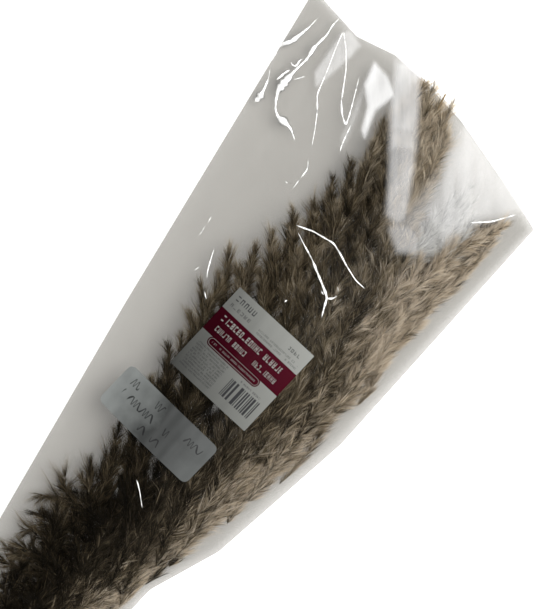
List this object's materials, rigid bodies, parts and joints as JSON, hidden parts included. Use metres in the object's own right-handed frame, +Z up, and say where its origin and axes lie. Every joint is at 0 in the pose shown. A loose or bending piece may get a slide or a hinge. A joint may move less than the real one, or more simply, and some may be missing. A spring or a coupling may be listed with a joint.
{
  "type": "bundle of silver grass",
  "caption": "Bundle of dried silver grass stems with long furry grey-brown plumes, lying in a clear tapered film sleeve with a printed label and a plain sticker on top.",
  "frame": {"origin": "middle of the bundle's outer box, on the plane of the surface that it lies on", "axes": "+Y along the stems from the cut ends to the plumes' tips, +Z up out of the surface, +X to the right seen from above with the tips away"},
  "size_m": [0.241, 0.7593, 0.0488],
  "materials": {
    "film": "clear glossy plastic film",
    "grass_dark": "dry fibrous plume, dark grey-brown",
    "grass_mid": "dry fibrous plume, grey-brown",
    "grass_light": "dry fibrous plume, light brown",
    "label_card": "coated printed label",
    "sticker_paper": "matt white sticker"
  },
  "bodies": {
    "root": {"film_sleeve": "film", "grass_stem_left": "grass_dark", "grass_stem_middle": "grass_mid", "grass_stem_right": "grass_light", "product_label": "label_card", "plain_sticker": "sticker_paper"}
  },
  "joints": []
}
